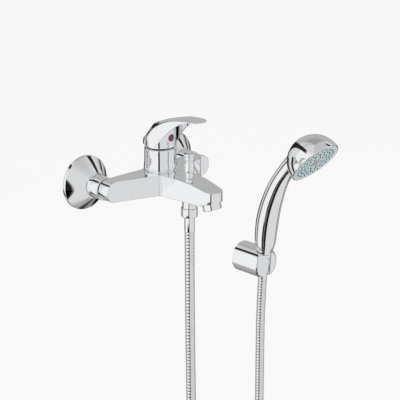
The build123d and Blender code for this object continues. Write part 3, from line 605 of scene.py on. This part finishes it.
outlet_axis = (0, sin(OUTLET_TILT), cos(OUTLET_TILT))
outlet_at = (0, AERATOR_AT, SPOUT_BOTTOM + (AERATOR_AT - SLANT_START) * np.tan(OUTLET_TILT))
ring_line = [(8.6, -7.3), (9.4, -8), (11.8, -8), (11.8, 0.4), (8.6, 0.4)]
put(
    "aerator_ring",
    turned(ring_line, outlet_at, outlet_axis, 96, radii=[0.2, 0.3, 0.8, 0, 0]),
    material=CHROME,
    replaces=["aerator_housing"],
)


# ------------------------------------------------------------------ lever
def lever_line(inset):
    """Plan outline of the lever in depth and X: a circle run out over tangents into straight
    sides and a half round tip, moved inwards by an inset. Both halves mirror each other."""
    skirt, half, end = SKIRT_RADIUS - inset, PADDLE_HALF_WIDTH - inset, TIP_RADIUS - inset
    run = PADDLE_AT - TURN_DEPTH
    reach = np.hypot(PADDLE_HALF_WIDTH, run)
    lean = np.arctan2(PADDLE_HALF_WIDTH, run) + np.arccos(SKIRT_RADIUS / reach)
    a = np.linspace(pi, lean, 64)
    circle = np.column_stack([TURN_DEPTH + skirt * np.cos(a), skirt * np.sin(a)])
    start, width = circle[-1]
    d = np.concatenate([np.linspace(start, PADDLE_AT, 26), np.linspace(PADDLE_AT, TIP_AT, 26)[1:]])
    d = d[1:]
    w = np.interp(d, [start, PADDLE_AT, TAPER_AT, TIP_AT], [width, half, half, end])
    side = np.column_stack([d, w])
    a = np.linspace(pi / 2, 0, 26)[1:]
    tip = np.column_stack([TIP_AT + end * np.cos(a), end * np.sin(a)])
    right = np.vstack([circle, side, tip])
    left = right[-2:0:-1] * [1, -1]
    return np.vstack([right, left])


def lever_spine(outline):
    """Middle line of the lever: the points of the plan outline drawn in to X = 0."""
    middle = np.clip(outline[:, 0], TURN_DEPTH, TIP_AT)
    return np.column_stack([middle, 0 * middle])


ROOF = (
    [38.5, 43, 51, 60, 70, 82, 92, 101, 110, 118, 126, 135],
    [59, 64, 69.8, 74.8, 79.1, 82.9, 85.5, 87.1, 88.1, 88.6, 88.9, 88.9],
)
EDGE = (
    [38.5, 42, 45, 48, 51, 54, 59, 64, 70, 75, 79, 85, 90, 100, 110, 118.5, 135],
    [55.5, 55, 54.5, 55, 56.5, 58.8, 63.2, 68.5, 74, 77.2, 79.4, 82, 83.7, 86, 87.3, 87.9, 88.3],
)
CUT = (
    [38, 69, 70, 72, 77, 86, 97, 104, 110, 116, 122, 135],
    [47, 47, 47.4, 49.2, 55.8, 65.6, 75.2, 80, 83.2, 85.4, 86.6, 87.2],
)
SHOULDER = ([38.5, 60, 80, 95, 135], [4.2, 4.4, 3.4, 1.6, 1.0])


def lever_shell():
    """Outer and inner skin of the lever. At the share t of the way from the spine to the rim the
    outer height is edge + (roof - edge) (1 - t^2.1); a rounded shoulder leads into the side wall,
    which ends on the slanted cut. The inner skin follows at the wall's thickness."""
    outer, inner = lever_line(0.0), lever_line(LEVER_WALL)
    spine, spine_in = lever_spine(outer), lever_spine(inner)
    top, edge = smooth_line(ROOF, spine[:, 0]), smooth_line(EDGE, outer[:, 0])
    cut = smooth_line(CUT, outer[:, 0])
    step = np.roll(outer, -1, 0) - np.roll(outer, 1, 0)
    out = np.stack([-step[:, 1], step[:, 0]], 1) / np.linalg.norm(step, axis=1)[:, None]
    round_off = np.minimum((edge - cut) * 0.45, np.interp(outer[:, 0], *SHOULDER))
    rim = outer - out * round_off[:, None]
    rows = []
    for t in np.linspace(0, 1, 22):
        p = spine + (rim - spine) * t
        rows.append(np.column_stack([p, edge + (top - edge) * (1 - t**LEVER_FULLNESS)]))
    for a in np.linspace(0, pi / 2, 7)[1:]:
        p = rim + out * (round_off * sin(a))[:, None]
        rows.append(np.column_stack([p, edge - round_off * (1 - cos(a))]))
    brow, lip = edge - round_off, cut + LEVER_LIP
    for t in np.linspace(0, 1, 7)[1:-1]:
        rows.append(np.column_stack([outer, brow + (lip - brow) * t]))
    rows.append(np.column_stack([outer, np.minimum(lip, brow)]))
    rows.append(np.column_stack([outer - out * LEVER_LIP, cut]))
    rows.append(np.column_stack([inner + out * LEVER_LIP, cut]))
    low = np.maximum(edge - 2.4, cut + 0.12)
    rows.append(np.column_stack([inner, np.minimum(cut + 0.1, low)]))
    for t in np.linspace(1, 0, 14):
        p = spine_in + (inner - spine_in) * t
        rows.append(np.column_stack([p, low + (top - 2.0 - low) * (1 - t**LEVER_FULLNESS)]))
    g = np.array(rows)
    return np.stack([g[..., 1], -g[..., 0], g[..., 2]], -1)


def lever_hub():
    """Hub wall under the shell: a tube whose top follows the shell's edge line."""
    a = np.linspace(0, 2 * pi, 128, endpoint=False)
    top = smooth_line(EDGE, TURN_DEPTH + SKIRT_RADIUS * np.cos(a)) - 2.6
    soft = 0.4
    foot = HUB_BOTTOM + soft
    rows = []
    for r, low, t in (
        (HUB_BORE, foot, 0),
        (HUB_BORE + soft, HUB_BOTTOM, 0),
        (HUB_RADIUS - soft, HUB_BOTTOM, 0),
        (HUB_RADIUS, foot, 0),
        (HUB_RADIUS, foot, 0.2),
        (HUB_RADIUS, foot, 0.6),
        (HUB_RADIUS, foot, 1),
        (HUB_BORE, foot, 1),
        (HUB_BORE, foot, 0.5),
        (HUB_BORE, foot, 0),
    ):
        y = -(TURN_DEPTH + r * np.cos(a))
        rows.append(np.column_stack([r * np.sin(a), y, low + (top - low) * t]))
    return np.array(rows)


neck_line = [(4.2, 48.7), (8.4, 48.7), (8.4, 71), (4.2, 71)]
put(
    "lever_handle",
    [lever_shell(), lever_hub(), turned(neck_line, (0, TURN_DEPTH, 0), around=64)],
    body="lever",
    material=CHROME,
    sharp=40,
    replaces=["lever"],
)


def mark_plug():
    """Plug in the hub's front: a round button whose face follows a cylinder about the hub's axis,
    with a rounded rim and a shallow dome."""
    a = np.linspace(0, 2 * pi, 48, endpoint=False)
    dome = ((0.0, 0.45), (1.5, 0.43), (3.0, 0.36), (4.2, 0.22), (4.7, 0.08))
    button = ((MARK_RADIUS, -0.2), (MARK_RADIUS, -1.6), (0, -1.6))
    rows = []
    for r, rise in dome + button:
        x, z = r * np.cos(a), r * np.sin(a)
        out = TURN_DEPTH + np.sqrt((HUB_RADIUS + 0.05) ** 2 - x**2) + rise
        rows.append(np.column_stack([x, -out, MARK_Z + z]))
    return np.array(rows)


put(
    "temperature_mark",
    mark_plug(),
    body="lever",
    material=FINISHES["indicator"],
    sharp=60,
    replaces=["indicator"],
)


# ------------------------------------------------------------------ hose
HOSE_POINTS = [
    (0.0, -0.1108, -0.0566),
    (0.0003, -0.1107, -0.1400),
    (0.0018, -0.1102, -0.2350),
    (0.0043, -0.1093, -0.3350),
    (0.0078, -0.1082, -0.4400),
    (0.0126, -0.1066, -0.5200),
    (0.0193, -0.1044, -0.5750),
    (0.0336, -0.0997, -0.6170),
    (0.0572, -0.0919, -0.6490),
    (0.0876, -0.0818, -0.6680),
    (0.1218, -0.0705, -0.6710),
    (0.1540, -0.0599, -0.6580),
    (0.1804, -0.0511, -0.6320),
    (0.1975, -0.0456, -0.5950),
    (0.2074, -0.0424, -0.5460),
    (0.2124, -0.0402, -0.4800),
    (0.2152, -0.0384, -0.4000),
    (0.2166, -0.0369, -0.3200),
    (0.2169, -0.0366, -0.2520),
    (0.2169, -0.0395, -0.2031),
]


def hose_line():
    """The hose's centreline: a NURBS of order 3 through its listed points, read as a mesh and
    sampled evenly by length. Returned in millimetres."""
    curve = bpy.data.curves.new("hose route", "CURVE")
    curve.dimensions = "3D"
    run = curve.splines.new("NURBS")
    run.points.add(len(HOSE_POINTS) - 1)
    run.points.foreach_set("co", np.column_stack([HOSE_POINTS, np.ones(len(HOSE_POINTS))]).ravel())
    run.order_u = 3
    run.use_endpoint_u = True
    run.resolution_u = 24
    holder = bpy.data.objects.new("hose route", curve)
    mesh = bpy.data.meshes.new_from_object(holder)
    points = np.empty(len(mesh.vertices) * 3)
    mesh.vertices.foreach_get("co", points)
    points = points.reshape(-1, 3)
    bpy.data.objects.remove(holder)
    bpy.data.curves.remove(curve)
    bpy.data.meshes.remove(mesh)
    reach = np.concatenate([[0], np.cumsum(np.linalg.norm(np.diff(points, axis=0), axis=1))])
    even = np.linspace(0, reach[-1], 2 * int(reach[-1] / 0.001) + 1)
    points = np.column_stack([np.interp(even, reach, points[:, n]) for n in range(3)])
    return points * 1000, reach[-1]


def corrugated_hose():
    """Hose tube with the folded strip's ribs: at length s the radius is
    groove + height |sin(pi s / pitch)|^0.7."""
    points, length = hose_line()
    reach = np.linspace(0, length * 1000, len(points))
    wave = np.abs(np.sin(pi * reach / RIB_PITCH))
    radii = GROOVE_RADIUS + RIB_HEIGHT * wave**0.7
    grid = tube(points, radii, (-0.315, 0.949, 0), around=26)
    ends = [np.repeat(points[n][None], 26, 0)[None] for n in (0, -1)]
    grid = np.concatenate([ends[0], grid, ends[1]])
    metal = FINISHES["hose_metal"]
    hose = put("shower_hose", grid, body=None, material=metal, sharp=80, replaces=["hose"])
    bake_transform(hose)
    return hose, points[::4] * 0.001, length


hose, hose_path, hose_length = corrugated_hose()

nut_line = [(6.6, -25.4), (10.4, -25.4), (10.4, -36.9), (6.6, -36.9)]
hose_top = put(
    "swivel_nut",
    turned(nut_line, at_outlet, around=84, radii=[0, 0.5, 1.5, 0]),
    material=CHROME,
    replaces=["hose_nut"],
)
ferrule_line = [(4, -37), (6.5, -37), (6.5, -56.5), (4, -56.5)]
hose_sleeve = put(
    "hose_sleeve",
    turned(ferrule_line, at_outlet, around=64, radii=[0, 0, 0.6, 0]),
    material=CHROME,
    replaces=["hose_ferrule"],
)

lean = radians(3.5)
cup_axis = (0, -sin(lean), cos(lean))
cup_at = (BRACKET_X, 41, -179.2)
end_line = [(4, -23.8), (6.4, -23.8), (6.4, -10), (4, -10)]
end_sleeve = put(
    "hose_end_sleeve",
    turned(end_line, cup_at, cup_axis, 64, radii=[0, 0.6, 0, 0]),
    body="hose_end",
    material=CHROME,
    replaces=["hose_end_ferrule"],
)


# ------------------------------------------------------------------ hand shower
HANDLE = np.array([
    (42.25, -163.6, 10.4), (42.4, -161.6, 10.6), (42.7, -156.4, 12.4), (43.2, -150, 14.2),
    (44.3, -136, 15.3), (46.8, -116, 15.7), (51.8, -94, 15), (58.6, -74, 13.9), (67, -55, 12.4),
    (77.6, -37.5, 11.2), (89, -22.5, 11), (99, -11, 12),
])
HEAD_AT, HEAD_DIP, HEAD_R, HEAD_H = (BRACKET_X, 129.9, -12.6), radians(40.4), 36.8, 38.6
head_axis = (0, cos(HEAD_DIP), sin(HEAD_DIP))


def handle_grid():
    """Handle: circles of changing radius square to a curved centreline in the plane of the
    handle, closed at both ends."""
    t = np.linspace(0, len(HANDLE) - 1, 150)
    d, z, r = (smooth_line((np.arange(len(HANDLE)), HANDLE[:, n]), t) for n in range(3))
    points = np.column_stack([np.full(len(t), BRACKET_X), -d, z])
    grid = tube(points, r, (1, 0, 0), around=72)
    ends = [np.repeat(points[n][None], 72, 0)[None] for n in (0, -1)]
    return np.concatenate([ends[0], grid, ends[1]])


def head_grid():
    """Head: turned dome with a rolled rim. Its radius falls with height h as the superellipse
    R (1 - (h / H)^2.18)^(1 / 1.97)."""
    h = HEAD_H * np.sin(np.linspace(0, pi / 2, 46)) ** 1.25
    r = HEAD_R * (1 - (h / HEAD_H) ** 2.18) ** (1 / 1.97)
    outside = np.column_stack([r, h])
    inside = [(0.01, 2.6), (33.8, 2.6), (34.2, 0.2), (35.4, -0.9), (36.4, -0.7)]
    return turned(np.vstack([inside, outside]), HEAD_AT, head_axis, 144, close=False)


put(
    "hand_shower_body",
    [handle_grid(), head_grid()],
    body="hand_shower",
    material=CHROME,
    sharp=40,
    replaces=["hand_shower_shell"],
)

cone_line = [
    (6.6, -12.9), (8.2, -12.9), (9.3, 8.4), (9.5, 9.4), (10.3, 10.2), (10.3, 13.4), (9.6, 14.6),
    (6.6, 14.6),
]
put(
    "conical_swivel_nut",
    turned(cone_line, cup_at, cup_axis, 72, radii=[0, 0.4, 0, 0, 0.4, 0.4, 0.4, 0]),
    body="hand_shower",
    material=CHROME,
    replaces=["conical_nut"],
)


# ------------------------------------------------------------------ light, floor and camera
def window(f, value, low, high, soft):
    """1 while a value lies between low and high, falling to 0 over the soft width outside."""
    clamped = {"operation": "MULTIPLY", "use_clamp": True}
    rise = f.node("ShaderNodeMath", clamped, {0: value - (low - soft), 1: 1 / soft})
    fall = f.node("ShaderNodeMath", clamped, {0: (high + soft) - value, 1: 1 / soft})
    return rise * fall


def room():
    """Light of the room as seen in the chrome: white and pale grey walls with narrow black
    strips between them, set by azimuth (0 in front of the wall, positive to the right) and
    elevation in degrees. Straight into the lens the room is plain pale grey."""
    f = Finish("studio room", "worlds")
    bpy.context.scene.world = f.material
    direction = f.node("ShaderNodeTexCoord", out="Generated")
    x, y, z = (
        f.node("ShaderNodeSeparateXYZ", values={0: direction}, out=name) for name in "XYZ"
    )
    azimuth = f.node("ShaderNodeMath", {"operation": "ARCTAN2"}, {0: x, 1: 0 - y}) * 57.2958
    height = f.node("ShaderNodeMath", {"operation": "ARCSINE"}, {0: z}) * 57.2958
    tilted = x * 0.681 + y * -0.332 + z * 0.654
    behind = window(f, y, 0.25, 1.2, 0.2)

    light = 0.94 + 0.24 * window(f, azimuth, -138, -62, 5)
    light = light * (1 - 0.36 * window(f, azimuth, 100, 168, 14))
    light = light * (1 - 0.25 * window(f, height, 58, 95, 18))
    light = light * (1 - 0.45 * window(f, height, -95, -46, 10) * window(f, y, -0.1, 1.2, 0.2))
    for strip, depth in (
        (window(f, azimuth, -59, -49, 1.5) * window(f, height, -75, 22, 5), 0.98),
        (window(f, azimuth, 71, 81, 2) * window(f, height, -62, 48, 6), 0.97),
        (window(f, azimuth, 96, 103, 2) * window(f, height, -50, 5, 6), 0.9),
        (window(f, azimuth, -160, -149, 2.5) * window(f, height, -40, 4, 4), 0.95),
        (window(f, azimuth, 118, 178, 6) * window(f, height, -32, -10, 4), 0.86),
        (window(f, azimuth, -92, -49, 2) * window(f, height, -75, -27, 4), 0.97),
        (window(f, height, -95, -58, 4) * window(f, y, 0.1, 1.2, 0.1), 0.85),
        (window(f, tilted, -0.085, 0.085, 0.04) * behind, 0.97),
    ):
        light = light * (1 - strip * depth)
    plain = f.node("ShaderNodeBackground", values={"Color": (0.93, 0.93, 0.93), "Strength": 1.0})
    walls = f.node("ShaderNodeBackground", values={"Strength": light})
    straight = f.node("ShaderNodeLightPath", out="Is Camera Ray")
    mixed = f.node("ShaderNodeMixShader", values={0: straight, 1: walls, 2: plain})
    made = f.tree.nodes.new("ShaderNodeOutputWorld")
    f.tree.links.new(mixed.socket, made.inputs["Surface"])


def studio():
    """Plain pale floor below the hose, the room, and two soft lamps."""
    corners = np.array([[-14, -14], [14, -14], [14, 14], [-14, 14]], float)
    mesh = bpy.data.meshes.new("floor")
    points = np.column_stack([corners, np.full(4, FLOOR_Z)])
    mesh.from_pydata(points.tolist(), [], [(0, 1, 2, 3)])
    f = Finish("pale floor")
    cloud = f.noise(0.8, 3.0)
    tone = f.between(cloud, (0.17, 0.17, 0.17), (0.16, 0.16, 0.16))
    mesh.materials.append(
        f.done(
            Base_Color=tone,
            Roughness=0.9,
            Specular_IOR_Level=0.0,
            Emission_Color=(0.83, 0.83, 0.83),
            Emission_Strength=1.0,
        )
    )
    floor = bpy.data.objects.new("floor", mesh)
    floor.visible_glossy = False
    bpy.context.scene.collection.objects.link(floor)
    room()
    for name, at, power, size in (
        ("key lamp", (-1.6, -2.0, 1.8), 14, 1.6),
        ("fill lamp", (1.9, -1.2, 1.0), 6, 1.4),
    ):
        lamp = bpy.data.lights.new(name, "AREA")
        lamp.energy, lamp.size = power, size
        holder = bpy.data.objects.new(name, lamp)
        holder.visible_glossy = False
        aim = Vector((0.1, -0.08, -0.1)) - Vector(at)
        turn = aim.to_track_quat("-Z", "Y").to_matrix().to_4x4()
        holder.matrix_world = Matrix.Translation(at) @ turn
        bpy.context.scene.collection.objects.link(holder)


def camera():
    """Long lens to the left of the mixer and a little above it."""
    eye = bpy.data.cameras.new("camera")
    eye.lens, eye.sensor_width = 126.68, 36.0
    eye.clip_start, eye.clip_end = 0.05, 60
    holder = bpy.data.objects.new("camera", eye)
    right, up = (0.70091, -0.71325, 0.0), (0.23339, 0.22935, 0.94495)
    back = np.cross(right, up)
    pose = Matrix.Identity(4)
    for n, column in enumerate((right, up, back, (-1.1581, -1.2670, 0.5509))):
        for row in range(3):
            pose[row][n] = float(column[row])
    holder.matrix_world = pose
    bpy.context.scene.collection.objects.link(holder)
    bpy.context.scene.camera = holder


studio()
camera()
bpy.context.scene.view_settings.view_transform = "Standard"
